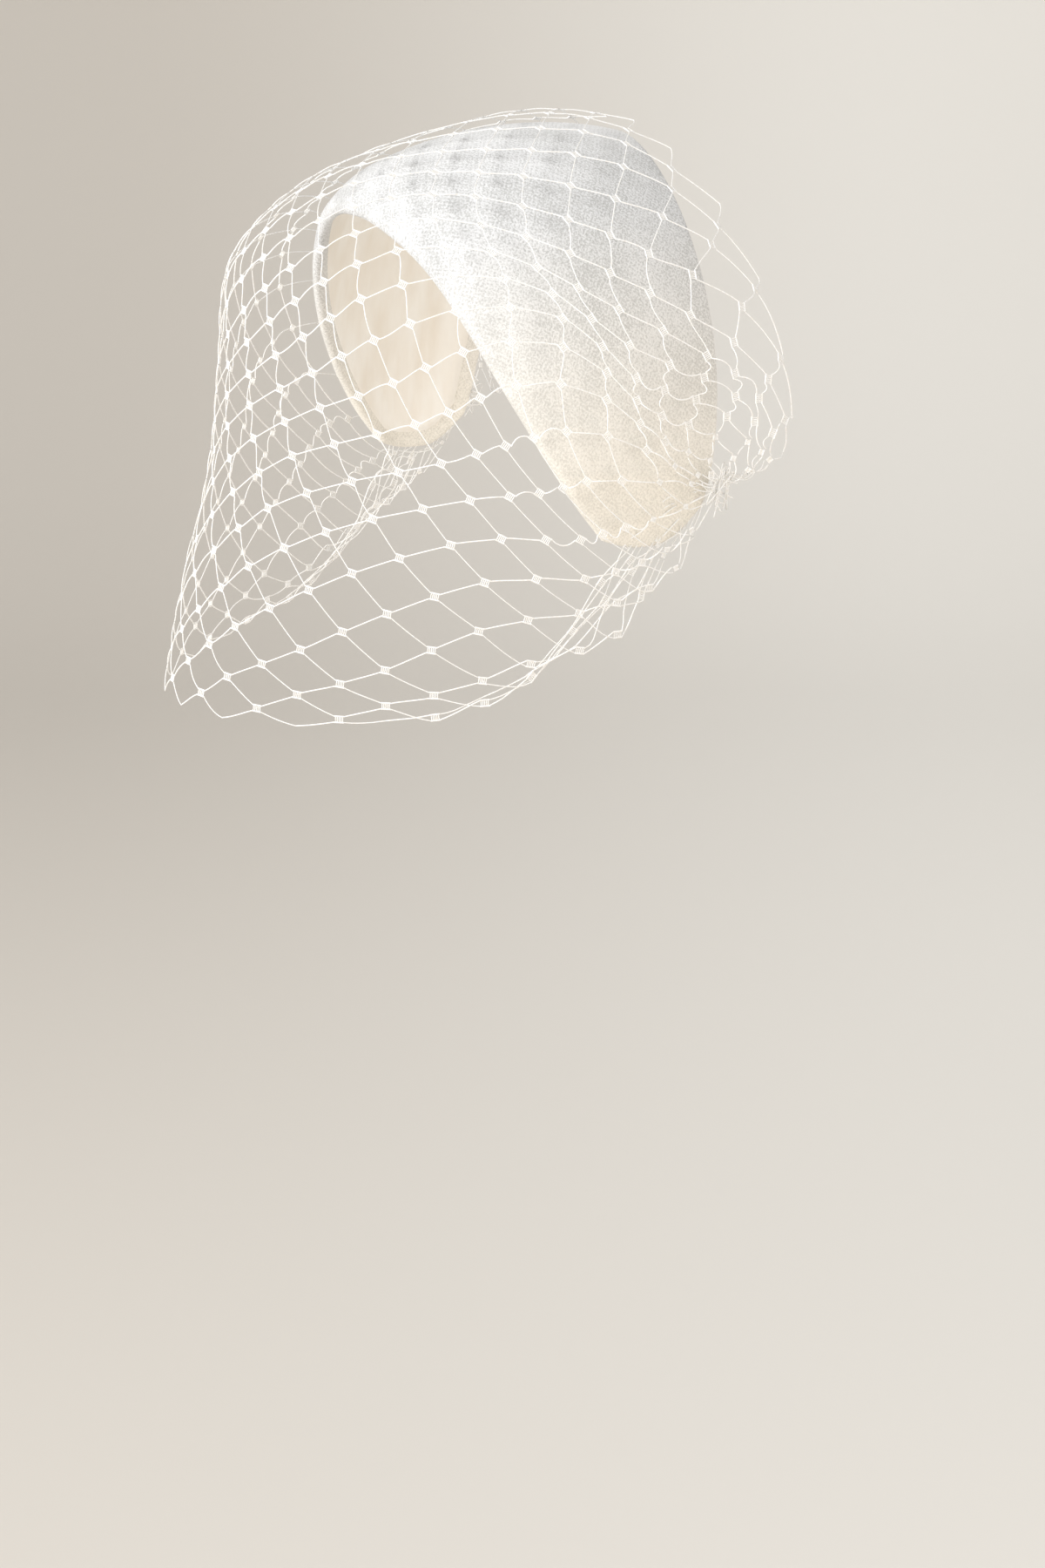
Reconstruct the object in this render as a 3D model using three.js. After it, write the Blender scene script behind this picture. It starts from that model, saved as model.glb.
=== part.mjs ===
// A bridal half hat with a birdcage veil, built as it is sewn: a velvet-covered band
// that crosses the crown of the head from ear to ear, its thin lining, and one strip of
// netting that is gathered to the hat's rear lower corners and stands over hat and face.
// Millimetres. +Z is up, the face looks along -Y and the wearer's left is +X.
// The origin is on the mid-plane, on the crown of the head, where the hat sits.

import * as THREE from "three";
import { mergeVertices } from "three/addons/utils/BufferGeometryUtils.js";

const rad = THREE.MathUtils.degToRad;

// The head that the hat is shaped to: an egg whose long axis rises towards the back.
const head = {
  halfWidth: 77,
  halfHeight: 95.2,
  halfLength: 104.5,
  tilt: rad(25.3),
  centreY: 2.8,
  centreZ: -96.5,
};

// The crown, one row for each place along the arch from the top of the head to the ear:
// the arch angle, the two edges, and how far the velvet stands off the head.
const crownRows = [
  { arch: 0, frontY: -52, backY: 37.6, frontLift: 8.5, nearLift: 11.6, midLift: 10.4, backLift: 10.8 },
  { arch: 15, frontY: -50.2, backY: 34.2, frontLift: 7.6, nearLift: 10.8, midLift: 9.9, backLift: 9.6 },
  { arch: 30, frontY: -46.4, backY: 33, frontLift: 6.6, nearLift: 9.4, midLift: 9.0, backLift: 8.4 },
  { arch: 45, frontY: -42, backY: 32.2, frontLift: 6.1, nearLift: 8.2, midLift: 8.1, backLift: 7.6 },
  { arch: 60, frontY: -36, backY: 30.8, frontLift: 5.8, nearLift: 7.4, midLift: 7.4, backLift: 7.1 },
  { arch: 75, frontY: -27.6, backY: 28, frontLift: 5.7, nearLift: 6.8, midLift: 6.9, backLift: 6.8 },
  { arch: 87, frontY: -18.4, backY: 24.4, frontLift: 5.5, nearLift: 6.2, midLift: 6.3, backLift: 6.2 },
  { arch: 99, frontY: -6, backY: 17, frontLift: 5.2, nearLift: 5.6, midLift: 5.6, backLift: 5.6 },
];
const crown = {
  wall: 2.4, // stiff foundation and velvet together
  frontRoll: 5, // thickness of the padded front edge
  rollWidth: 9, // how far back the padding reaches
  hemWall: 3.2, // thickness of the turned hem at the ears
  tipArch: 97.4, // where the band ends over the ear
  frontCorner: 2.2, // how much sooner, in degrees, its corners end
  backCorner: 7.5,
};
const lining = { wall: 0.8, gap: 0.6, inset: 5 };

// The veil, one row for each hoop of the strip from its top edge behind the hat to its
// bottom edge at the chin: where the hoop crosses the mid-plane, how squarely it runs
// off to the side there, and how it leaves the gather.
const veilHoops = [
  { midY: 40.5, midZ: 12, shoulder: 43, leaveX: 34, leaveY: 46, leaveZ: 8 },
  { midY: 8, midZ: 14.5, shoulder: 52, leaveX: 24, leaveY: 24, leaveZ: 46 },
  { midY: -32, midZ: 7, shoulder: 52, leaveX: 17, leaveY: -2, leaveZ: 60 },
  { midY: -66, midZ: -5, shoulder: 50, leaveX: 14, leaveY: -28, leaveZ: 58 },
  { midY: -90, midZ: -26, shoulder: 49, leaveX: 13, leaveY: -50, leaveZ: 44 },
  { midY: -96, midZ: -58, shoulder: 44, leaveX: 15, leaveY: -64, leaveZ: 20 },
  { midY: -101, midZ: -92, shoulder: 43, leaveX: 16, leaveY: -68, leaveZ: -8 },
  { midY: -112, midZ: -126, shoulder: 45, leaveX: 16, leaveY: -62, leaveZ: -46 },
  { midY: -121, midZ: -160, shoulder: 46, leaveX: 14, leaveY: -48, leaveZ: -86 },
];
const veil = { wall: 1.2, reach: 0.93 };
const gather = {
  at: new THREE.Vector3(84, 29, -90), // where the netting is drawn together
  lift: new THREE.Vector3(2, 0.4, -1.5), // from there to the middle of the bunch
  size: new THREE.Vector3(4.8, 8.6, 11.6), // half its thickness, width and height
};

// Catmull-Rom through the rows of a table, for one column.
function column(rows, name, place) {
  const last = rows.length - 1;
  const i = Math.min(Math.max(Math.floor(place), 0), last - 1);
  const w = place - i;
  const at = (k) => {
    if (k < 0) return 2 * rows[0][name] - rows[1][name];
    if (k > last) return 2 * rows[last][name] - rows[last - 1][name];
    return rows[k][name];
  };
  const [a, b, c, d] = [at(i - 1), at(i), at(i + 1), at(i + 2)];
  return 0.5 * (2 * b + (c - a) * w + (2 * a - 5 * b + 4 * c - d) * w * w
    + (3 * b - a - 3 * c + d) * w * w * w);
}

// The place in the table that belongs to an arch angle.
function placeOfArch(arch) {
  let i = 0;
  while (i < crownRows.length - 2 && crownRows[i + 1].arch < arch) i += 1;
  return i + (arch - crownRows[i].arch) / (crownRows[i + 1].arch - crownRows[i].arch);
}

const smooth = (x) => {
  const t = Math.min(Math.max(x, 0), 1);
  return t * t * (3 - 2 * t);
};

// A point at an arch angle and a distance y along the head, standing off the head by lift.
function onHead(arch, y, lift) {
  const { halfWidth, halfHeight, halfLength, tilt, centreY, centreZ } = head;
  const [c, s] = [Math.cos(tilt), Math.sin(tilt)];
  const quad = (p, q) => {
    const [pl, ph] = [c * p.y + s * p.z, c * p.z - s * p.y];
    const [ql, qh] = [c * q.y + s * q.z, c * q.z - s * q.y];
    return (p.x * q.x) / halfWidth ** 2 + (pl * ql) / halfLength ** 2 + (ph * qh) / halfHeight ** 2;
  };
  const out = new THREE.Vector3(Math.sin(arch), 0, Math.cos(arch));
  const base = new THREE.Vector3(0, y - centreY, 0);
  const [qa, qb, qc] = [quad(out, out), 2 * quad(out, base), quad(base, base) - 1];
  const reach = (-qb + Math.sqrt(Math.max(qb * qb - 4 * qa * qc, 0))) / (2 * qa);
  const p = base.addScaledVector(out, reach);
  const along = (c * p.y + s * p.z) / halfLength ** 2;
  const across = (c * p.z - s * p.y) / halfHeight ** 2;
  const normal = new THREE.Vector3(p.x / halfWidth ** 2, c * along - s * across, s * along + c * across);
  return p.addScaledVector(normal.normalize(), lift).add(new THREE.Vector3(0, centreY, centreZ));
}

// How far the velvet stands off the head, across the band from its front edge to its back.
function standOff(place, v) {
  const front = column(crownRows, "frontLift", place);
  const near = column(crownRows, "nearLift", place);
  const mid = column(crownRows, "midLift", place);
  const back = column(crownRows, "backLift", place);
  if (v < 0.18) return front + (near - front) * Math.sin((Math.PI / 2) * (v / 0.18));
  const t = (v - 0.18) / 0.82;
  return near * (1 - t) * (1 - 2 * t) + mid * 4 * t * (1 - t) + back * t * (2 * t - 1);
}

// The band: u runs from ear to ear as -1 to 1 and v from the front edge to the back one.
// depth is 0 on the outside of the given layer and 1 on its inside.
function bandPoint(u, v, layer, depth) {
  const side = Math.sign(u) || 1;
  const turned = Math.abs(2 * v - 1) ** 3;
  const corner = v < 0.5 ? crown.frontCorner : crown.backCorner;
  const endArch = crown.tipArch - corner * turned - layer.inset / 1.5;
  const arch = Math.abs(u) * endArch;
  const place = placeOfArch(arch);
  const frontY = column(crownRows, "frontY", place) + layer.inset;
  const backY = column(crownRows, "backY", place) - layer.inset;
  const y = frontY + (backY - frontY) * v;
  const fromFront = (backY - frontY) * v;
  const fromBack = (backY - frontY) * (1 - v);
  const fromEnd = rad(endArch - arch) * head.halfWidth;
  const wall = layer.wallAt(fromFront, fromEnd);
  const edge = Math.min(fromFront, fromBack, fromEnd);
  const radius = wall / 2;
  const open = Math.min(edge / radius, 1);
  const round = Math.max(Math.sqrt(1 - (1 - open) ** 2), layer.blunt);
  const middle = standOff(place, v) - layer.belowAt(fromFront, fromEnd) - radius;
  return onHead(side * rad(arch), y, middle + radius * round * (1 - 2 * depth));
}

const crownLayer = {
  inset: 0,
  belowAt: () => 0,
  blunt: 0.2,
  wallAt: (fromFront, fromEnd) => crown.wall
    + (crown.frontRoll - crown.wall) * (1 - smooth(fromFront / crown.rollWidth))
    + (crown.hemWall - crown.wall) * (1 - smooth(fromEnd / crown.rollWidth)) * smooth(fromFront / 9),
};
const liningLayer = {
  inset: lining.inset,
  belowAt: (fromFront, fromEnd) => lining.gap
    + crownLayer.wallAt(fromFront + lining.inset, fromEnd + lining.inset),
  blunt: 0.5,
  wallAt: () => lining.wall,
};

// The veil's outer form: t runs down the strip from its top edge and s from side to side.
function veilMiddle(t, s) {
  const place = t * (veilHoops.length - 1);
  const row = (name) => column(veilHoops, name, place);
  const u = Math.abs(s);
  const mid = new THREE.Vector3(0, row("midY"), row("midZ"));
  const shoulder = mid.clone().add(new THREE.Vector3(row("shoulder"), 0, 0));
  const leave = gather.at.clone().add(new THREE.Vector3(row("leaveX"), row("leaveY"), row("leaveZ")));
  const point = new THREE.CubicBezierCurve3(mid, shoulder, leave, gather.at).getPoint(u);
  if (s < 0) point.x *= -1;
  return point;
}
function veilPoint(t, s, depth) {
  const step = 0.004;
  const down = veilMiddle(t + step, s).sub(veilMiddle(t - step, s));
  const over = veilMiddle(t, s + step).sub(veilMiddle(t, s - step));
  const normal = over.cross(down).normalize();
  return veilMiddle(t, s).addScaledVector(normal, veil.wall * (depth - 0.5));
}

// A closed shell through a grid of points on an outer and an inner face, with a rim.
function shellGeometry(rows, columns, pointAt) {
  const [n, m] = [rows.length, columns.length];
  const positions = [];
  const index = [];
  for (const depth of [0, 1]) {
    for (const a of rows) for (const b of columns) positions.push(...pointAt(a, b, depth).toArray());
  }
  const id = (depth, i, j) => depth * n * m + i * m + j;
  const quad = (a, b, c, d) => index.push(a, b, c, a, c, d);
  for (let i = 0; i < n - 1; i += 1) {
    for (let j = 0; j < m - 1; j += 1) {
      quad(id(0, i, j), id(0, i + 1, j), id(0, i + 1, j + 1), id(0, i, j + 1));
      quad(id(1, i, j), id(1, i, j + 1), id(1, i + 1, j + 1), id(1, i + 1, j));
    }
  }
  for (let i = 0; i < n - 1; i += 1) {
    quad(id(0, i, 0), id(1, i, 0), id(1, i + 1, 0), id(0, i + 1, 0));
    quad(id(0, i, m - 1), id(0, i + 1, m - 1), id(1, i + 1, m - 1), id(1, i, m - 1));
  }
  for (let j = 0; j < m - 1; j += 1) {
    quad(id(0, 0, j), id(0, 0, j + 1), id(1, 0, j + 1), id(1, 0, j));
    quad(id(0, n - 1, j), id(1, n - 1, j), id(1, n - 1, j + 1), id(0, n - 1, j + 1));
  }
  const geometry = new THREE.BufferGeometry();
  geometry.setAttribute("position", new THREE.Float32BufferAttribute(positions, 3));
  geometry.setIndex(index);
  return geometry;
}

const steps = (count, from = 0, to = 1) =>
  Array.from({ length: count + 1 }, (_, i) => from + ((to - from) * i) / count);

const halfArch = [1, 0.993, 0.97, 0.93, ...steps(11, 0.86, 0)];
const overArch = [...halfArch.map((u) => -u), ...halfArch.slice(0, -1).reverse()];
const acrossCrown = [0, 0.012, 0.035, 0.08, 0.14, ...steps(6, 0.22, 0.96), 0.985, 1];

function crownGeometry() {
  return shellGeometry(overArch, acrossCrown, (u, v, depth) => bandPoint(u, v, crownLayer, depth));
}
function liningGeometry() {
  return shellGeometry(overArch, steps(8), (u, v, depth) => bandPoint(u, v, liningLayer, depth));
}
function veilGeometry() {
  const sides = steps(34, -veil.reach, veil.reach);
  return shellGeometry(steps(18), sides, (t, s, depth) => veilPoint(t, s, depth));
}
// The bunched end of the netting: a lumpy knot, a little flattened against the velvet.
function gatherGeometry(side) {
  const geometry = new THREE.IcosahedronGeometry(1, 3);
  geometry.deleteAttribute("normal");
  geometry.deleteAttribute("uv");
  const bunch = mergeVertices(geometry, 1e-4);
  const position = bunch.attributes.position;
  const p = new THREE.Vector3();
  for (let i = 0; i < position.count; i += 1) {
    p.fromBufferAttribute(position, i);
    const lumps = 1 + 0.06 * Math.sin(5 * p.y + 1) * Math.sin(4 * p.z) + 0.04 * Math.sin(7 * p.x * side);
    p.multiplyScalar(lumps).multiply(gather.size);
    position.setXYZ(i, p.x, p.y, p.z);
  }
  return bunch;
}

const colours = { velvet: 0xf4efe6, satin: 0xf0e4d2, net: 0xf7f4ee };
const fabric = (color, roughness, name) =>
  new THREE.MeshStandardMaterial({ name, color, roughness, metalness: 0 });

const hat = new THREE.Group();
const add = (name, geometry, material, at) => {
  const mesh = new THREE.Mesh(geometry, material);
  mesh.name = name;
  if (at) mesh.position.copy(at);
  hat.add(mesh);
};
add("crown", crownGeometry(), fabric(colours.velvet, 0.95, "velvet"));
add("lining", liningGeometry(), fabric(colours.satin, 0.5, "satin"));
add("veil", veilGeometry(), fabric(colours.net, 0.8, "netting"));
for (const [side, name] of [[1, "gather_left"], [-1, "gather_right"]]) {
  const at = gather.at.clone().add(gather.lift);
  at.x *= side;
  add(name, gatherGeometry(side), fabric(colours.net, 0.8, `${name}_netting`), at);
}

export default hat;
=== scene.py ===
# Bridal half hat: a velvet band over the crown of the head, a satin lining and a gathered net veil.
import math
import bmesh
import bpy
import numpy as np
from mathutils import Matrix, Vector, noise


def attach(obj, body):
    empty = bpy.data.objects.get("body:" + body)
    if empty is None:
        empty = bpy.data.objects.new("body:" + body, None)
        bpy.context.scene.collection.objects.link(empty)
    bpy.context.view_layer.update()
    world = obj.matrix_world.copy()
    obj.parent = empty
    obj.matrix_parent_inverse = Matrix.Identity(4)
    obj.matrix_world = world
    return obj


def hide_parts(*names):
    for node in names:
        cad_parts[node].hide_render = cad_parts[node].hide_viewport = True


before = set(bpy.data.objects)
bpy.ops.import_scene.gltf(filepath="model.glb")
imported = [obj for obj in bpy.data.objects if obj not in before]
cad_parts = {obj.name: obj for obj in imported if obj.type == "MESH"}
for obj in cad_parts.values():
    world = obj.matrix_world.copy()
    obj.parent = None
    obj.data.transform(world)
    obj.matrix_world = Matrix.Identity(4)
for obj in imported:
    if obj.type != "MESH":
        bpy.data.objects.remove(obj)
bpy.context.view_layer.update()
mm = 0.001

# The camera stands at the wearer's left front and looks a little down.
cameraSettings = {"place": (0.662, -0.347, 0.069), "lookAt": (0.0, 0.005, -0.21), "lens": 53, "sensor": 36}
cameraData = bpy.data.cameras.new("camera")
cameraData.lens = cameraSettings["lens"]
cameraData.sensor_width = cameraSettings["sensor"]
camera = bpy.data.objects.new("camera", cameraData)
camera.location = cameraSettings["place"]
gaze = Vector(cameraSettings["lookAt"]) - camera.location
camera.rotation_euler = gaze.to_track_quat("-Z", "Y").to_euler()
bpy.context.collection.objects.link(camera)
bpy.context.scene.camera = camera
bpy.context.scene.view_settings.view_transform = "Standard"
print("camera placed")


def linearColour(hexText):
    parts = [int(hexText[i:i + 2], 16) / 255 for i in (1, 3, 5)]
    return [c / 12.92 if c <= 0.04045 else ((c + 0.055) / 1.055) ** 2.4 for c in parts] + [1.0]


def socketOf(node, identifier):
    return next((socket for socket in node.inputs if socket.identifier == identifier), None)


# Adds a node: a setting is a socket's value, a ramp's stops or a property of the node, and a link is
# the output that feeds a socket.
def addNode(material, kind, settings=None, links=None):
    node = material.node_tree.nodes.new(kind)
    for name, value in (settings or {}).items():
        if name == "stops":
            elements = node.color_ramp.elements
            while len(elements) < len(value):
                elements.new(0.5)
            for element, (place, hexText) in zip(elements, value):
                element.position = place
                element.color = linearColour(hexText)
        elif socketOf(node, name):
            socketOf(node, name).default_value = value
        else:
            setattr(node, name, value)
    for name, source in (links or {}).items():
        material.node_tree.links.new(source, socketOf(node, name))
    return node


def newMaterial(name):
    material = bpy.data.materials.new(name)
    material.use_nodes = True
    material.node_tree.nodes.clear()
    return material


def finishMaterial(material, shader):
    addNode(material, "ShaderNodeOutputMaterial", links={"Surface": shader.outputs[0]})
    return material


# Polyester velvet, cut pile on a woven ground. Its colour holds painted light: painted glints on the
# pile's tufts and painted shade between them, in fine specks and soft patches, and a painted warm bounce
# that turns the off-white of the top of the head creamier towards the ears. The ground's weave only just
# shows through it. Speck, clump, patch and weave are sizes in millimetres, and the weave is drawn about
# twice as coarse as it is, so that it can show. Places over the head are in metres from its middle.
velvetLook = {
    # The first ramp is the velvet's off-white, turning creamier towards the ears as painted warm bounce
    # light.
    "tintWithPaintedBounce": [(0.04, "#edeef0"), (0.115, "#f8f3e9")],
    # The second ramp paints glints on the pile's tufts, shade between them and soft patches of sheen, over
    # the weave's own faint lines.
    "pileGlintsAndShade": [(0.34, "#c9c9c7"), (0.46, "#dcdcda"), (0.53, "#f4f4f4"), (0.61, "#ffffff")],
    "speck": 0.55, "clump": 2.2, "patch": 24, "weave": 1.1, "bias": 38,
    "clumpShare": 0.25, "weaveShare": 0.11, "patchShare": 0.22,
    "calmFrom": 0.04, "calmTo": 0.1, "strongest": 0.9, "weakest": 0.5,
    "bumpStrength": 0.7, "bumpDepth": 0.4,
}
bandGap = 0.314  # between the bands of a wave texture whose scale is 1


def velvetMaterial():
    look = velvetLook
    material = newMaterial("ivoryVelvetCutPile")
    place = addNode(material, "ShaderNodeTexCoord")
    grains = {}
    for name, detail, roughness in (("speck", 1.0, 0.6), ("clump", 3.0, 0.7), ("patch", 2.0, 0.5)):
        grain = addNode(material, "ShaderNodeTexNoise",
                        {"Scale": 1 / (look[name] * mm), "Detail": detail, "Roughness": roughness},
                        {"Vector": place.outputs["Object"]})
        grains[name] = grain.outputs["Fac"]
    bias = addNode(material, "ShaderNodeMapping", {"Rotation": (0, 0, math.radians(look["bias"]))},
                   {"Vector": place.outputs["UV"]})
    yarns = []
    for direction in ("X", "Y"):
        yarn = addNode(material, "ShaderNodeTexWave",
                       {"wave_type": "BANDS", "bands_direction": direction,
                        "Scale": bandGap / (look["weave"] * mm), "Distortion": 0.6, "Detail": 1.0,
                        "Detail Scale": 0.2},
                       {"Vector": bias.outputs["Vector"]})
        yarns.append(yarn.outputs["Fac"])
    weave = addNode(material, "ShaderNodeMix", {"Factor_Float": 0.5},
                    {"A_Float": yarns[0], "B_Float": yarns[1]})
    fluff = addNode(material, "ShaderNodeMix", {"Factor_Float": look["clumpShare"]},
                    {"A_Float": grains["speck"], "B_Float": grains["clump"]})
    fine = addNode(material, "ShaderNodeMix", {"Factor_Float": look["weaveShare"]},
                   {"A_Float": fluff.outputs[0], "B_Float": weave.outputs[0]})
    mixed = addNode(material, "ShaderNodeMix", {"Factor_Float": look["patchShare"]},
                    {"A_Float": fine.outputs[0], "B_Float": grains["patch"]})
    # Painted glints and shade: grey in the hollows between tufts, white on their tips, with the weave's own
    # faint lines.
    pileGlintsAndShade = addNode(material, "ShaderNodeValToRGB", {"stops": look["pileGlintsAndShade"]}, {"Fac": mixed.outputs[0]})
    # Painted warm bounce: the off-white turns creamier with reach from the top of the head towards the ears.
    parts = addNode(material, "ShaderNodeSeparateXYZ", links={"Vector": place.outputs["UV"]})
    reach = addNode(material, "ShaderNodeMath", {"operation": "ABSOLUTE"}, {"Value": parts.outputs["X"]})
    tintWithPaintedBounce = addNode(material, "ShaderNodeValToRGB", {"stops": look["tintWithPaintedBounce"]}, {"Fac": reach.outputs[0]})
    # The painted glints and shade of the pile are strongest on top of the head and calmer towards the ears.
    strength = addNode(material, "ShaderNodeMapRange",
                       {"From Min": look["calmFrom"], "From Max": look["calmTo"],
                        "To Min": look["strongest"], "To Max": look["weakest"]},
                       {"Value": reach.outputs[0]})
    colour = addNode(material, "ShaderNodeMix", {"data_type": "RGBA", "blend_type": "MULTIPLY"},
                     {"Factor_Float": strength.outputs["Result"], "A_Color": tintWithPaintedBounce.outputs["Color"],
                      "B_Color": pileGlintsAndShade.outputs["Color"]})
    bump = addNode(material, "ShaderNodeBump",
                   {"Strength": look["bumpStrength"], "Distance": look["bumpDepth"] * mm},
                   {"Height": fine.outputs[0]})
    shader = addNode(material, "ShaderNodeBsdfPrincipled",
                     {"Roughness": 0.7, "Sheen Weight": 0.35, "Sheen Roughness": 0.4,
                      "Specular IOR Level": 0.35},
                     {"Base Color": colour.outputs[2], "Normal": bump.outputs["Normal"]})
    return finishMaterial(material, shader)


# Satin lining, a warp-faced weave: smooth cream with a soft lustre and faint pulls along the band, coloured
# with painted shade in the pulls' hollows and painted lustre on their ridges.
satinLook = {"shades": [(0.35, "#f3ece1"), (0.65, "#fbf8f2")], "pull": 9, "pullStretch": 0.25, "weave": 0.6,
             "weaveStrength": 0.15, "weaveDepth": 0.2, "pullStrength": 0.4, "pullDepth": 1.2}


def satinMaterial():
    look = satinLook
    material = newMaterial("creamSatinWoven")
    place = addNode(material, "ShaderNodeTexCoord")
    stretch = addNode(material, "ShaderNodeMapping", {"Scale": (look["pullStretch"], 1.0, 1.0)},
                      {"Vector": place.outputs["UV"]})
    pull = addNode(material, "ShaderNodeTexNoise",
                   {"Scale": 1 / (look["pull"] * mm), "Detail": 3.0, "Roughness": 0.55},
                   {"Vector": stretch.outputs["Vector"]})
    weave = addNode(material, "ShaderNodeTexNoise", {"Scale": 1 / (look["weave"] * mm), "Detail": 1.0},
                    {"Vector": stretch.outputs["Vector"]})
    # Painted shade and lustre: the colour follows the pulls' height, darker where they dip.
    colour = addNode(material, "ShaderNodeValToRGB", {"stops": look["shades"]}, {"Fac": pull.outputs["Fac"]})
    weaveBump = addNode(material, "ShaderNodeBump",
                        {"Strength": look["weaveStrength"], "Distance": look["weaveDepth"] * mm},
                        {"Height": weave.outputs["Fac"]})
    bump = addNode(material, "ShaderNodeBump",
                   {"Strength": look["pullStrength"], "Distance": look["pullDepth"] * mm},
                   {"Height": pull.outputs["Fac"], "Normal": weaveBump.outputs["Normal"]})
    shader = addNode(material, "ShaderNodeBsdfPrincipled",
                     {"Roughness": 0.42, "Sheen Weight": 0.2, "Anisotropic": 0.4},
                     {"Base Color": colour.outputs["Color"], "Normal": bump.outputs["Normal"]})
    return finishMaterial(material, shader)


# Knotted polyester thread: a matt ivory yarn whose twist only just shows.
threadLook = {"shades": [(0.35, "#f7f5f0"), (0.6, "#ffffff")], "twist": 0.8}


def threadMaterial():
    material = newMaterial("ivoryNetThreadKnotted")
    place = addNode(material, "ShaderNodeTexCoord")
    twist = addNode(material, "ShaderNodeTexNoise", {"Scale": 1 / (threadLook["twist"] * mm), "Detail": 1.0},
                    {"Vector": place.outputs["Object"]})
    colour = addNode(material, "ShaderNodeValToRGB", {"stops": threadLook["shades"]},
                     {"Fac": twist.outputs["Fac"]})
    shader = addNode(material, "ShaderNodeBsdfPrincipled",
                     {"Roughness": 0.5, "Sheen Weight": 0.3, "Specular IOR Level": 0.4},
                     {"Base Color": colour.outputs["Color"]})
    return finishMaterial(material, shader)


velvet = velvetMaterial()
satin = satinMaterial()
netThread = threadMaterial()
print("materials made")

# The head the hat is shaped to, an egg whose long axis rises to the back, in millimetres.
head = {"halfWidth": 77, "halfHeight": 95.2, "halfLength": 104.5, "tilt": math.radians(25.3),
        "centreY": 2.8, "centreZ": -96.5}
# The band from the top of the head to the ear: both edges and how far the velvet stands off.
bandRows = [
    {"arch": 0, "frontY": -52, "backY": 37.6, "front": 8.5, "near": 11.6, "mid": 10.4, "back": 10.8},
    {"arch": 15, "frontY": -50.2, "backY": 34.2, "front": 7.6, "near": 10.8, "mid": 9.9, "back": 9.6},
    {"arch": 30, "frontY": -46.4, "backY": 33, "front": 6.6, "near": 9.4, "mid": 9.0, "back": 8.4},
    {"arch": 45, "frontY": -42, "backY": 32.2, "front": 6.1, "near": 8.2, "mid": 8.1, "back": 7.6},
    {"arch": 60, "frontY": -36, "backY": 30.8, "front": 5.8, "near": 7.4, "mid": 7.4, "back": 7.1},
    {"arch": 75, "frontY": -27.6, "backY": 28, "front": 5.7, "near": 6.8, "mid": 6.9, "back": 6.8},
    {"arch": 87, "frontY": -18.4, "backY": 24.4, "front": 5.5, "near": 6.2, "mid": 6.3, "back": 6.2},
    {"arch": 99, "frontY": -6, "backY": 17, "front": 5.2, "near": 5.6, "mid": 5.6, "back": 5.6},
]
# nearAt is the place across the band, from front to back, where it stands off as bandRows' near says.
band = {"wall": 2.4, "frontRoll": 5, "rollWidth": 9, "hemWall": 3.2, "tipArch": 97.4, "nearAt": 0.18,
        "frontCorner": 2.2, "backCorner": 7.5, "cornerPower": 3, "stepsAcross": 46, "stepsOver": 220}
# The lining stops short of the velvet's edges by its inset, and its own edges are tucked up into it.
liningSettings = {"wall": 0.8, "gap": 0.3, "tuck": 1.3, "tuckWidth": 3, "inset": 5, "insetPerDegree": 1.5,
                  "stepsAcross": 24, "stepsOver": 140}


# A smooth curve that runs from b to c as w goes from 0 to 1, with a before it and d after it.
def curveThrough(a, b, c, d, w):
    return 0.5 * (2 * b + (c - a) * w + (2 * a - 5 * b + 4 * c - d) * w * w
                  + (3 * b - a - 3 * c + d) * w ** 3)


def column(rows, name, place):
    last = len(rows) - 1
    i = min(max(math.floor(place), 0), last - 1)
    w = place - i

    def at(k):
        if k < 0:
            return 2 * rows[0][name] - rows[1][name]
        if k > last:
            return 2 * rows[last][name] - rows[last - 1][name]
        return rows[k][name]

    return curveThrough(at(i - 1), at(i), at(i + 1), at(i + 2), w)


def placeOfArch(arch):
    i = 0
    while i < len(bandRows) - 2 and bandRows[i + 1]["arch"] < arch:
        i += 1
    return i + (arch - bandRows[i]["arch"]) / (bandRows[i + 1]["arch"] - bandRows[i]["arch"])


def smooth(x):
    x = min(max(x, 0), 1)
    return x * x * (3 - 2 * x)


# A point at an arch angle and a distance y along the head, standing off its surface by lift.
def onHead(arch, y, lift):
    c, s = math.cos(head["tilt"]), math.sin(head["tilt"])

    def quad(p, q):
        along = (c * p.y + s * p.z) * (c * q.y + s * q.z) / head["halfLength"] ** 2
        upward = (c * p.z - s * p.y) * (c * q.z - s * q.y) / head["halfHeight"] ** 2
        return p.x * q.x / head["halfWidth"] ** 2 + along + upward

    out = Vector((math.sin(arch), 0, math.cos(arch)))
    base = Vector((0, y - head["centreY"], 0))
    qa, qb, qc = quad(out, out), 2 * quad(out, base), quad(base, base) - 1
    p = base + out * ((-qb + math.sqrt(max(qb * qb - 4 * qa * qc, 0))) / (2 * qa))
    along = (c * p.y + s * p.z) / head["halfLength"] ** 2
    upward = (c * p.z - s * p.y) / head["halfHeight"] ** 2
    normal = Vector((p.x / head["halfWidth"] ** 2, c * along - s * upward, s * along + c * upward))
    return p + normal.normalized() * lift + Vector((0, head["centreY"], head["centreZ"]))


def standOff(place, v):
    front, near = column(bandRows, "front", place), column(bandRows, "near", place)
    mid, back = column(bandRows, "mid", place), column(bandRows, "back", place)
    if v < band["nearAt"]:
        return front + (near - front) * math.sin(math.pi / 2 * v / band["nearAt"])
    w = (v - band["nearAt"]) / (1 - band["nearAt"])
    return near * (1 - w) * (1 - 2 * w) + mid * 4 * w * (1 - w) + back * w * (2 * w - 1)


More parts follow.
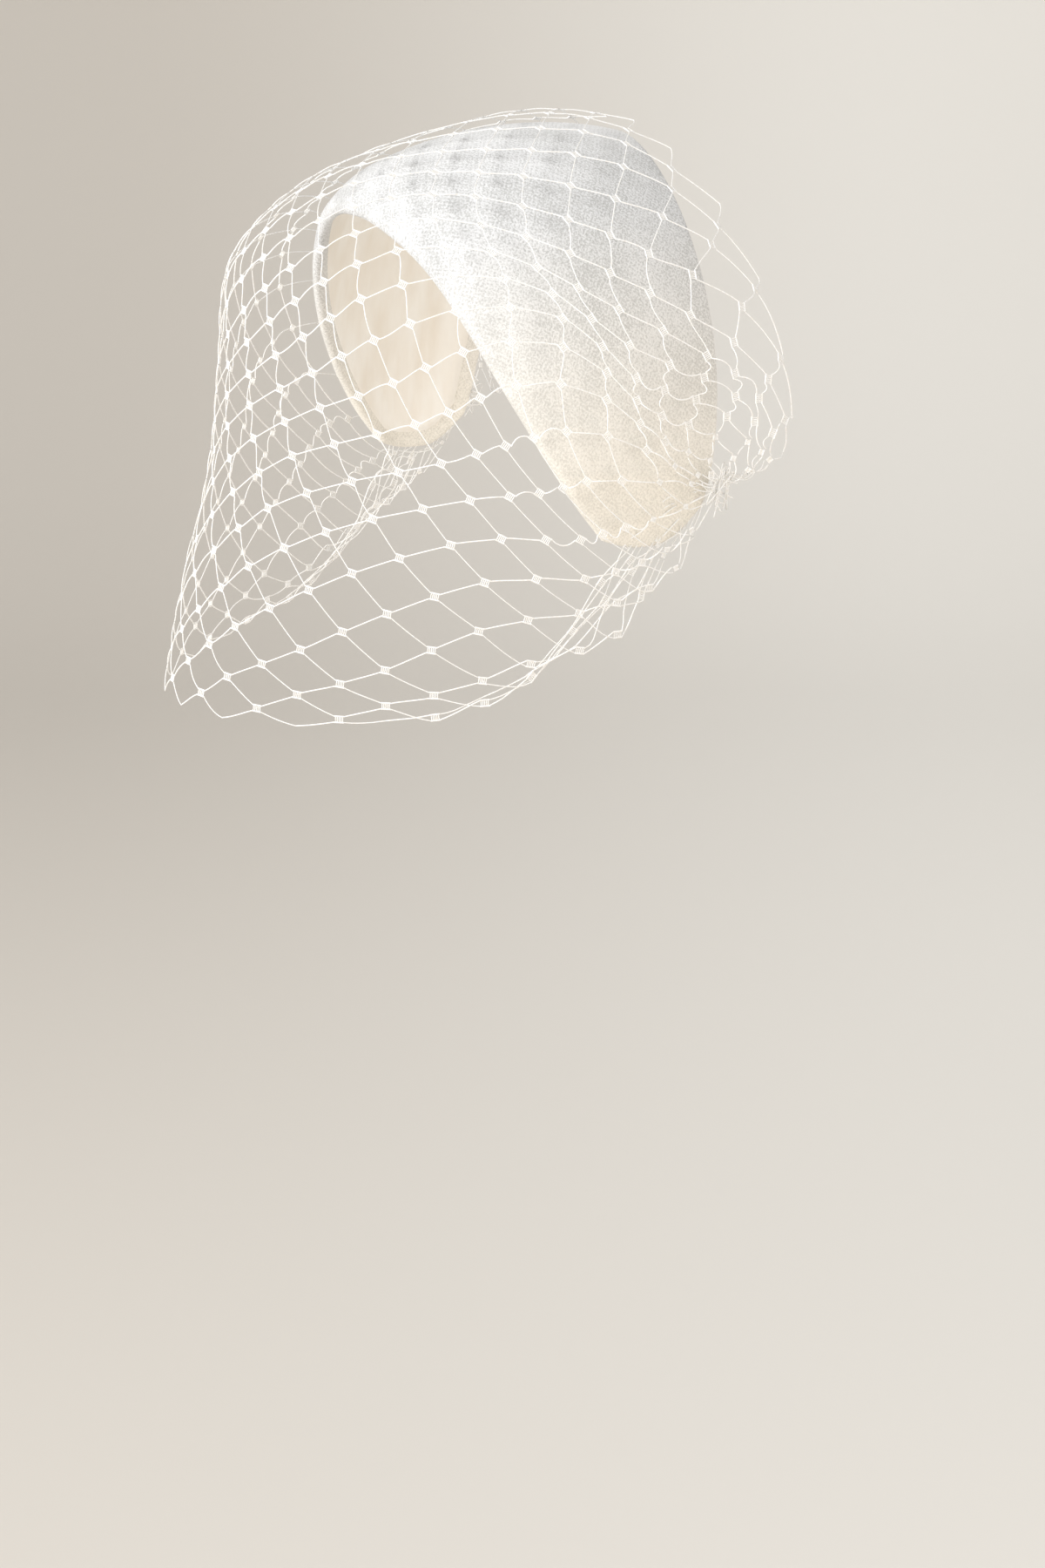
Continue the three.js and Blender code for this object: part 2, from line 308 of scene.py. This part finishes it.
def velvetWall(fromFront, fromEnd):
    roll = (band["frontRoll"] - band["wall"]) * (1 - smooth(fromFront / band["rollWidth"]))
    hem = (band["hemWall"] - band["wall"]) * (1 - smooth(fromEnd / band["rollWidth"]))
    return band["wall"] + roll + hem * smooth(fromFront / band["rollWidth"])


# u runs from ear to ear as -1 to 1, v from the front edge to the back one, depth 0 is outside.
def bandPoint(u, v, depth, isLining):
    inset = liningSettings["inset"] if isLining else 0
    corner = band["frontCorner"] if v < 0.5 else band["backCorner"]
    rounding = corner * abs(2 * v - 1) ** band["cornerPower"]
    endArch = band["tipArch"] - rounding - inset / liningSettings["insetPerDegree"]
    arch = abs(u) * endArch
    place = placeOfArch(arch)
    frontY = column(bandRows, "frontY", place) + inset
    backY = column(bandRows, "backY", place) - inset
    fromFront, fromBack = (backY - frontY) * v, (backY - frontY) * (1 - v)
    share = (inset + fromFront) / (backY - frontY + 2 * inset)
    fromEnd = math.radians(endArch - arch) * head["halfWidth"]
    fromEdge = min(fromFront, fromBack, fromEnd)
    tucked = 1 - smooth(fromEdge / liningSettings["tuckWidth"])
    gap = liningSettings["gap"] - liningSettings["tuck"] * tucked
    below = gap + velvetWall(fromFront + inset, fromEnd + inset) if isLining else 0
    radius = (liningSettings["wall"] if isLining else velvetWall(fromFront, fromEnd)) / 2
    roundness = math.sqrt(max(1 - (1 - min(fromEdge / radius, 1)) ** 2, 0))
    lift = standOff(place, share) - below - radius + radius * roundness * (1 - 2 * depth)
    turn, y = math.copysign(math.radians(arch), u), frontY + fromFront
    return onHead(turn, y, lift), (turn * head["halfWidth"] * mm, y * mm)


# A grid rolled once round the wall of the band, outside first, and closed along the front edge.
def bandShell(name, isLining, stepsAcross, stepsOver, material):
    bm = bmesh.new()
    bmesh.ops.create_grid(bm, x_segments=stepsOver, y_segments=2 * stepsAcross, size=0.5)
    uvLayer = bm.loops.layers.uv.new("cloth")
    flat = {}
    for vert in bm.verts:
        u = math.sin(math.pi * vert.co.x)
        turn = vert.co.y + 0.5
        v = 0.5 - 0.5 * math.cos(2 * math.pi * turn)
        inside = turn > 0.5
        point, flat[vert] = bandPoint(u, v, 1 if inside else 0, isLining)
        vert.co = point * mm
    for face in bm.faces:
        for loop in face.loops:
            loop[uvLayer].uv = flat[loop.vert]
    bmesh.ops.remove_doubles(bm, verts=bm.verts, dist=0.01 * mm)
    bmesh.ops.recalc_face_normals(bm, faces=bm.faces)
    mesh = bpy.data.meshes.new(name)
    bm.to_mesh(mesh)
    bm.free()
    mesh.shade_smooth()
    mesh.materials.append(material)
    piece = bpy.data.objects.new(name, mesh)
    bpy.context.collection.objects.link(piece)
    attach(piece, "root")
    return piece


velvetBand = bandShell("velvetBand", False, band["stepsAcross"], band["stepsOver"], velvet)
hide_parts("crown")
satinLining = bandShell("satinLining", True, liningSettings["stepsAcross"], liningSettings["stepsOver"],
                        satin)
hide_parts("lining")
print("band and lining made")

# The veil's hoops, from its top edge behind the hat to its bottom edge at the chin, in millimetres:
# where each crosses the middle, how squarely it runs off sideways and how it leaves the gather.
hoops = [
    {"midY": 40.5, "midZ": 12, "shoulder": 46, "leaveX": 34, "leaveY": 57, "leaveZ": 4},
    {"midY": 8, "midZ": 14.5, "shoulder": 52, "leaveX": 24, "leaveY": 29, "leaveZ": 46},
    {"midY": -32, "midZ": 7, "shoulder": 52, "leaveX": 17, "leaveY": -2, "leaveZ": 60},
    {"midY": -66, "midZ": -5, "shoulder": 50, "leaveX": 14, "leaveY": -28, "leaveZ": 58},
    {"midY": -90, "midZ": -26, "shoulder": 49, "leaveX": 13, "leaveY": -50, "leaveZ": 44},
    {"midY": -96, "midZ": -58, "shoulder": 44, "leaveX": 15, "leaveY": -64, "leaveZ": 20},
    {"midY": -101, "midZ": -92, "shoulder": 43, "leaveX": 16, "leaveY": -68, "leaveZ": -8},
    {"midY": -112, "midZ": -126, "shoulder": 45, "leaveX": 16, "leaveY": -62, "leaveZ": -46},
    {"midY": -121, "midZ": -160, "shoulder": 46, "leaveX": 14, "leaveY": -48, "leaveZ": -86},
]
gatherAt = np.array([84.0, 29.0, -90.0])
hoopTable = np.array([list(row.values()) for row in hoops], dtype=float)


def hoopAt(t):
    last = len(hoopTable) - 1
    rows = np.vstack([2 * hoopTable[0] - hoopTable[1], hoopTable, 2 * hoopTable[-1] - hoopTable[-2]])
    place = t * last
    i = np.clip(np.floor(place).astype(int), 0, last - 1)
    w = (place - i)[..., None]
    return curveThrough(rows[i], rows[i + 1], rows[i + 2], rows[i + 3], w)


# A point in millimetres: t runs from 0 to 1 down the strip, and s from -1 at the wearer's right gather
# to 1 at the left one.
def veilPoint(t, s):
    row = hoopAt(t)
    u = np.abs(s)[..., None]
    zero = np.zeros_like(t)
    middle = np.stack([zero, row[..., 0], row[..., 1]], -1)
    shoulder = middle + np.stack([row[..., 2], zero, zero], -1)
    leave = gatherAt + row[..., 3:6]
    point = (middle * (1 - u) ** 3 + 3 * shoulder * u * (1 - u) ** 2 + 3 * leave * u * u * (1 - u)
             + gatherAt * u ** 3)
    point[..., 0] *= np.where(s < 0, -1, 1)
    return point


def veilNormal(t, s):
    step = 1e-3
    over = veilPoint(t, np.abs(s) + step) - veilPoint(t, np.abs(s) - step)
    down = veilPoint(t + step, np.abs(s)) - veilPoint(t - step, np.abs(s))
    normal = np.cross(down, over)
    normal /= np.linalg.norm(normal, axis=-1, keepdims=True) + 1e-9
    normal[..., 0] *= np.where(s < 0, -1, 1)
    return normal


# The net is counted in half-cells: rows down the strip from its top edge, and columns along it from
# gather to gather. Lengths are in millimetres unless a note says otherwise.
net = {
    "down": 30, "farGather": -21, "nearGather": 14, "cellLong": 20.8, "cellWide": 15.3,
    # The start column lies this share of the way from the middle to the ear, and further at the brow.
    "startCol": 1, "start": 0.17, "startBrow": 0.14, "startSlant": 0.004, "browRow": 11, "browReach": 9,
    # Columns stand this share of that way apart, closer at some rows and on the far side, and past
    # squeezeFrom they are squeezed together to end at endAt.
    "step": 0.07, "stepBrow": -0.022, "stepRow": 14.5, "stepReach": 4.5, "farStep": 0.85,
    "squeezeFrom": 0.75, "endAt": 0.985,
    # Rows sink towards the gathers, and past earFrom the upper ones rise and the lower ones drop: in
    # rows, but earFrom is a share of the way to the ear and highest a share of the strip's width.
    "lift": 0.6, "sink": 6.4, "sinkBrow": -5.3, "sinkRow": 11.5, "sinkReach": 2.8, "calmRows": 4,
    "earTop": -55, "earLow": 42, "earFrom": 0.55, "earRow": 4.5, "earRows": 7, "highest": -0.015,
    # The bottom edge is turned under, and behind the ears the top edge curls in.
    "foldGap": 4.5, "foldOver": 0.03, "curl": 9, "curlDown": 0.07, "behindFrom": 0.35, "behindOver": 0.3,
    # A knot's size, how far it turns behind the hat, and how small it is drawn in the gathers.
    "knotLong": 3.4, "knotWide": 2.2, "bars": 5, "railAt": 0.9, "barSpread": 1.3,
    "turned": 0.9, "steepAbove": 15, "steepRows": 8, "tightKnot": 0.6, "tightCols": 3,
    # The thread's radius, and how thick each kind is drawn against it.
    "thread": 0.19, "level": 1.06, "steep": 0.86, "rail": 1.3, "bar": 0.85,
    # Where a thread leaves its knot, how far it heads for the next one, and how it bows when slack.
    "leaveAt": 0.42, "leaveLeast": 0.3, "leaveOver": 12, "heading": 0.6, "shortest": 0.5, "steps": 7,
    "bowMost": 0.5, "bowEar": 1.8, "bowEarFrom": 0.45, "bowEarOver": 0.4, "bowChange": 0.045,
    "bowTurn": 2.4, "bowOut": 0.6, "slackFrom": 12, "slackOver": 7,
}
# Each thread is one side of a diamond of the flat strip.
threadLong = math.hypot(net["cellLong"], net["cellWide"]) / 2


def around(row, place, reach, power=2):
    return np.exp(-np.abs((row - place) / reach) ** power)


# Where the knot at a row and a column lies: how far down the strip, and along it from the middle.
def knotPlace(row, col):
    brow = around(row, net["browRow"], net["browReach"], power=4)
    start = net["start"] + brow * (net["startBrow"] + net["startSlant"] * (row - net["browRow"]))
    step = net["step"] + net["stepBrow"] * around(row, net["stepRow"], net["stepReach"])
    fromStart = col - net["startCol"]
    run = np.where(fromStart > 0, fromStart, net["farStep"] * fromStart)
    farRun = net["startCol"] - net["farGather"]
    pull = (net["endAt"] + start - step * net["farStep"] * farRun) / farRun ** 3
    s = start + step * run - np.where(fromStart < 0, pull * np.abs(fromStart) ** 3, 0)
    squeeze, end = net["squeezeFrom"], start + step * (net["nearGather"] - net["startCol"])
    s = np.where(s > squeeze, squeeze + (net["endAt"] - squeeze) * (s - squeeze) / (end - squeeze), s)
    fromBottom = np.clip((net["down"] + 0.5 - row) / net["calmRows"], 0, 1)
    fade = fromBottom * np.clip((row + 0.5) / net["calmRows"], 0, 1)
    sink = net["sink"] + net["sinkBrow"] * around(row, net["sinkRow"], net["sinkReach"])
    turn = np.clip((row - net["earRow"]) / net["earRows"], 0, 1)
    ear = net["earTop"] + (net["earLow"] - net["earTop"]) * turn * turn * (3 - 2 * turn)
    ear = ear * np.clip(np.abs(s) - net["earFrom"], 0, None) ** 2
    down = row + fade * (net["lift"] + sink * s * s + ear)
    return np.clip(down / net["down"], net["highest"], None), s


# Past the bottom hoop the strip is turned under and runs back up inside; behind the ears its top
# edge curls in towards the head.
def netPoint(t, s):
    over = np.clip(t - 1, 0, None)
    t = np.where(t > 1, 2 - t, t)
    depth = net["foldGap"] * np.clip(over / net["foldOver"], 0, 1)
    behind = np.clip((np.abs(s) - net["behindFrom"]) / net["behindOver"], 0, 1)
    depth = depth + net["curl"] * behind * np.clip(1 - t / net["curlDown"], 0, 1) ** 1.5
    return veilPoint(t, s) - veilNormal(np.clip(t, 0, 1), s) * depth[..., None]


grid = [(col, row) for col in range(net["farGather"], net["nearGather"] + 1)
        for row in range(net["down"] + 1) if (col + row) % 2]
knotCols = np.array([col for col, row in grid], dtype=float)
knotRows = np.array([row for col, row in grid], dtype=float)
downStrip, alongStrip = knotPlace(knotRows, knotCols)
knots = dict(zip(grid, netPoint(downStrip, alongStrip)))
places = dict(zip(grid, np.stack([downStrip, alongStrip], -1)))
clearOfEnds = np.clip(alongStrip, -0.97, 0.97)  # at the gathers all hoops meet and have no normal
outward = dict(zip(grid, veilNormal(np.clip(downStrip, 0, 1), clearOfEnds)))


def unit(v):
    return v / (np.linalg.norm(v) + 1e-9)


# A knot lies along the strip, and turns towards the steep threads where the net hangs behind the hat.
nudge = 0.05
ahead = netPoint(*knotPlace(knotRows, knotCols + nudge))
runs = dict(zip(grid, ahead - netPoint(*knotPlace(knotRows, knotCols - nudge))))
along, across = {}, {}
for col, row in grid:
    key = (col, row)
    here = knots[key]
    steep = unit(knots.get((col + 1, row + 1), here) - knots.get((col - 1, row - 1), here))
    high = smooth((net["steepAbove"] - row) / net["steepRows"])
    behind = smooth((places[key][1] - net["behindFrom"]) / net["behindOver"])
    along[key] = unit(unit(runs[key]) + steep * (net["turned"] * high * behind))
    side = np.cross(along[key], outward[key])
    below = knots.get((col + 1, row + 1), here) + knots.get((col - 1, row + 1), here) - 2 * here
    across[key] = side if row == net["down"] or np.dot(side, below) > 0 else -side
print("net laid", len(grid), "knots")


def threadCurve(name, radius, sides):
    curve = bpy.data.curves.new(name, "CURVE")
    curve.dimensions = "3D"
    curve.bevel_depth = radius * mm
    curve.bevel_resolution = sides
    return curve


def addThread(curve, path, fullness=1.0):
    spline = curve.splines.new("POLY")
    spline.points.add(len(path) - 1)
    for point, place in zip(spline.points, path):
        point.co = (*(np.asarray(place) * mm), 1)
        point.radius = fullness


def curveToPiece(curve, material):
    draft = bpy.data.objects.new(curve.name + "Draft", curve)
    bpy.context.collection.objects.link(draft)
    bpy.context.view_layer.update()
    mesh = bpy.data.meshes.new_from_object(draft.evaluated_get(bpy.context.evaluated_depsgraph_get()))
    mesh.name = curve.name
    bpy.data.objects.remove(draft)
    mesh.materials.clear()
    mesh.materials.append(material)
    mesh.shade_smooth()
    piece = bpy.data.objects.new(curve.name, mesh)
    bpy.context.collection.objects.link(piece)
    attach(piece, "root")
    return piece


def isEdge(key):
    return key[1] <= 0 or key[1] >= net["down"]


# A thread leaves a knot from one of its four corners; side is 1 along the strip, way is 1 down it.
def threadEnd(key, side, way):
    if isEdge(key):
        return knots[key]
    nearby = knots.get((key[0] - side, key[1] + way), knots[key])
    reach = min(1.0, net["leaveLeast"] + np.linalg.norm(knots[key] - nearby) / net["leaveOver"])
    return (knots[key] + along[key] * side * net["knotLong"] * net["leaveAt"] * reach
            + across[key] * way * net["knotWide"] * net["leaveAt"] * reach)


# A thread bends from its knot's line into its own. One that is longer than its span bows sideways, and
# the bow of a shallow arc is the root of 3/8 of the span times the spare length.
def threadPath(near, far, way):
    start, end = threadEnd(near, 1, way), threadEnd(far, -1, -way)
    chord = end - start
    span = np.linalg.norm(chord)
    if span < net["shortest"]:
        return None
    before = knots.get((near[0] - 1, near[1] - way), knots[near])
    after = knots.get((near[0] + 2, near[1] + 2 * way), knots[far])
    through = along[near] if isEdge(near) else knots[far] - before
    onward = along[far] if isEdge(far) else after - knots[near]
    leave = unit(net["heading"] * unit(chord) + (1 - net["heading"]) * unit(through)) * span
    arrive = unit(net["heading"] * unit(chord) + (1 - net["heading"]) * unit(onward)) * span
    spare = max(threadLong - net["knotLong"] - span, 0)
    nearEar = smooth((abs(places[near][1]) - net["bowEarFrom"]) / net["bowEarOver"])
    bow = min(math.sqrt(3 / 8 * span * spare), net["bowMost"] + net["bowEar"] * nearEar)
    facing = unit(outward[near] + outward[far])
    sideways = np.cross(facing, unit(chord))
    turn = noise.noise(Vector(knots[near] * net["bowChange"])) * net["bowTurn"]
    push = (sideways * math.sin(turn) + facing * net["bowOut"] * abs(math.cos(turn))) * bow
    # A long thread is slack, so it follows the round of the veil instead of its chord.
    slack = smooth((span - net["slackFrom"]) / net["slackOver"])
    path = []
    for f in np.linspace(0, 1, net["steps"]):
        hold = 2 * f ** 3 - 3 * f ** 2
        onChord = ((1 + hold) * start + (f ** 3 - 2 * f ** 2 + f) * leave
                   - hold * end + (f ** 3 - f ** 2) * arrive)
        place = places[near] * (1 - f) + places[far] * f
        onVeil = (netPoint(place[:1], place[1:])[0] + (start - knots[near]) * (1 - f)
                  + (end - knots[far]) * f)
        path.append(onChord * (1 - slack) + onVeil * slack + push * 4 * f * (1 - f))
    return path


# Each knot is a short ladder: two bound rails along the strip, tied by bars.
def addKnot(curve, middle, lengthwise, crosswise):
    reach = net["railAt"]
    for way in (-1, 1):
        rail = [middle + lengthwise * f + crosswise * way * reach for f in (-reach, reach)]
        addThread(curve, rail, net["rail"])
    for k in range(net["bars"]):
        f = (k / (net["bars"] - 1) - 0.5) * net["barSpread"]
        bar = [middle + lengthwise * f + crosswise * way * reach for way in (-1, 1)]
        addThread(curve, bar, net["bar"])


netCurve = threadCurve("netVeil", net["thread"], 1)
for col, row in grid:
    for way in (-1, 1):
        far = (col + 1, row + way)
        path = threadPath((col, row), far, way) if far in knots else None
        if path:
            addThread(netCurve, path, net["level"] if way < 0 else net["steep"])
for key in grid:
    if isEdge(key):
        continue
    nearEnd = key[0] > net["nearGather"] - net["tightCols"] or key[0] < net["farGather"] + net["tightCols"]
    tight = net["tightKnot"] if nearEnd else 1
    addKnot(netCurve, knots[key], along[key] * net["knotLong"] / 2 * tight,
            across[key] * net["knotWide"] / 2 * tight)
netVeil = curveToPiece(netCurve, netThread)
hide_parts("veil")
print("net made")

# At each ear the strip is drawn up into a tangle: its threads cross to and fro, with a few knots in
# them. Reach and offset are in millimetres, knotSize is against the net's knots, turn is in radians,
# and the others are shares of the reach or counts.
gather = {"threads": 3, "turns": 6, "reach": (2.2, 7.4, 9.2), "offset": (0.8, -1.2, -1.0), "wander": 0.5,
          "nearest": 0.5, "turn": (2.2, 4.1), "steps": 5, "knots": 5, "knotReach": 0.7, "knotSize": 0.8,
          "seed": 11}


def smoothPath(points, steps):
    ends = [2 * points[0] - points[1], *points, 2 * points[-1] - points[-2]]
    path = []
    for i in range(len(points) - 1):
        path += [curveThrough(*ends[i:i + 4], k / steps) for k in range(steps)]
    return path + [points[-1]]


def makeGather(name, side, node):
    rng = np.random.default_rng(gather["seed"] + side)
    centre = (gatherAt + np.array(gather["offset"])) * np.array([side, 1, 1])
    reach = np.array(gather["reach"])
    curve = threadCurve(name, net["thread"], 1)
    for _ in range(gather["threads"]):
        angle = rng.uniform(0, 2 * math.pi)
        path = []
        for _ in range(gather["turns"]):
            out = np.array([rng.normal(0, gather["wander"]), math.cos(angle), math.sin(angle)])
            path.append(centre + out * reach * rng.uniform(gather["nearest"], 1.0))
            angle += rng.uniform(*gather["turn"])
        addThread(curve, smoothPath(path, gather["steps"]))
    for _ in range(gather["knots"]):
        angle = rng.uniform(0, 2 * math.pi)
        lengthwise = np.array([0, math.cos(angle), math.sin(angle)]) * net["knotLong"] / 2
        crosswise = np.array([0, -math.sin(angle), math.cos(angle)]) * net["knotWide"] / 2
        spot = centre + rng.uniform(-gather["knotReach"], gather["knotReach"], 3) * reach
        addKnot(curve, spot, lengthwise * gather["knotSize"], crosswise * gather["knotSize"])
    piece = curveToPiece(curve, netThread)
    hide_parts(node)
    return piece


leftTangle = makeGather("leftGatherTangle", 1, "gather_left")
rightTangle = makeGather("rightGatherTangle", -1, "gather_right")
print("gathers made")

# The strip is a whole rectangle: 15 diamonds wide, as veiling of 23 cm, and 17.5 long, with sides as
# long as the laid net's are on average. An open net has far less cloth than its outline. Area is the
# lowest value that a sheet takes and not the strip's own: the comparison says nothing of the size.
print("sheets declared")

# A pale seamless sweep: floor below and a wall that curves up behind. Its colour is painted light falloff,
# darker to one side and lighter to the other, turned by shadeTurn degrees and spread shadeReach metres each
# way.
stageSettings = {"floor": -0.5, "behind": 1.0, "bend": 0.6, "width": 4.5, "front": 2.2, "rise": 1.5,
                 "shades": [(0.0, "#cfcac3"), (1.0, "#e7e5e1")], "shadeTurn": 28, "shadeReach": 0.4}


def sweepMaterial():
    material = newMaterial("paleSweepPaintedFalloff")
    place = addNode(material, "ShaderNodeTexCoord")
    turned = addNode(material, "ShaderNodeMapping",
                     {"Rotation": (0, 0, math.radians(stageSettings["shadeTurn"]))},
                     {"Vector": place.outputs["Object"]})
    parts = addNode(material, "ShaderNodeSeparateXYZ", links={"Vector": turned.outputs["Vector"]})
    # Painted light falloff: the colour runs from the darker shade to the lighter one across the sweep.
    sideways = addNode(material, "ShaderNodeMapRange",
                       {"From Min": -stageSettings["shadeReach"], "From Max": stageSettings["shadeReach"]},
                       {"Value": parts.outputs["Y"]})
    colour = addNode(material, "ShaderNodeValToRGB", {"stops": stageSettings["shades"]},
                     {"Fac": sideways.outputs["Result"]})
    colour.color_ramp.interpolation = "EASE"
    shader = addNode(material, "ShaderNodeBsdfPrincipled", {"Roughness": 0.9, "Specular IOR Level": 0.2},
                     {"Base Color": colour.outputs["Color"]})
    return finishMaterial(material, shader)


def makeSweep():
    bm = bmesh.new()
    bmesh.ops.create_grid(bm, x_segments=60, y_segments=2, size=0.5)
    back = Vector((gaze.x, gaze.y, 0)).normalized()
    sideways = Vector((-back.y, back.x, 0))
    bend, flatRun = stageSettings["bend"], stageSettings["front"] + stageSettings["behind"]
    quarter = math.pi / 2 * bend
    total = flatRun + quarter + stageSettings["rise"]
    for vert in bm.verts:
        run = (vert.co.x + 0.5) * total
        if run < flatRun:
            out, up = run - stageSettings["front"], 0
        elif run < flatRun + quarter:
            angle = (run - flatRun) / bend
            out, up = stageSettings["behind"] + bend * math.sin(angle), bend * (1 - math.cos(angle))
        else:
            out, up = stageSettings["behind"] + bend, bend + run - flatRun - quarter
        height = Vector((0, 0, stageSettings["floor"] + up))
        vert.co = back * out + sideways * vert.co.y * stageSettings["width"] + height
    mesh = bpy.data.meshes.new("paleSweep")
    bm.to_mesh(mesh)
    bm.free()
    mesh.shade_smooth()
    mesh.materials.append(sweepMaterial())
    sweep = bpy.data.objects.new("paleSweep", mesh)
    bpy.context.collection.objects.link(sweep)


makeSweep()

# Soft studio light: a large window-like light from the wearer's front, a warm fill from below.
hatMiddle = (0, -0.02, -0.06)
lightSettings = [
    {"name": "windowLight", "place": (0.1, -1.35, 0.5), "aim": hatMiddle, "size": 0.7, "power": 18,
     "colour": "#fffefc"},
    {"name": "windowPane", "place": (-0.15, -1.25, 0.8), "aim": hatMiddle, "size": 0.26, "power": 4.5,
     "colour": "#fffefc"},
    {"name": "roomFill", "place": (1.3, 0.6, 0.2), "aim": hatMiddle, "size": 1.4, "power": 6.5,
     "colour": "#fffaf3"},
    {"name": "warmBounce", "place": (0.5, 0.1, -0.45), "aim": hatMiddle, "size": 0.5, "power": 0.9,
     "colour": "#ffe8d0"},
    {"name": "sweepLight", "place": (-0.1, 0.9, 0.6), "aim": (-1.5, 1.0, -0.1), "size": 0.9, "power": 3,
     "colour": "#fffdf9"},
]
roomSettings = {"colour": "#f3f1ee", "strength": 0.55}
for item in lightSettings:
    lightData = bpy.data.lights.new(item["name"], "AREA")
    lightData.size = item["size"]
    lightData.energy = item["power"]
    lightData.color = linearColour(item["colour"])[:3]
    light = bpy.data.objects.new(item["name"], lightData)
    light.location = item["place"]
    light.rotation_euler = (Vector(item["aim"]) - light.location).to_track_quat("-Z", "Y").to_euler()
    bpy.context.collection.objects.link(light)
world = bpy.data.worlds.new("paleRoom")
world.use_nodes = True
background = world.node_tree.nodes["Background"]
background.inputs["Color"].default_value = linearColour(roomSettings["colour"])
background.inputs["Strength"].default_value = roomSettings["strength"]
bpy.context.scene.world = world
print("lights and sweep set")
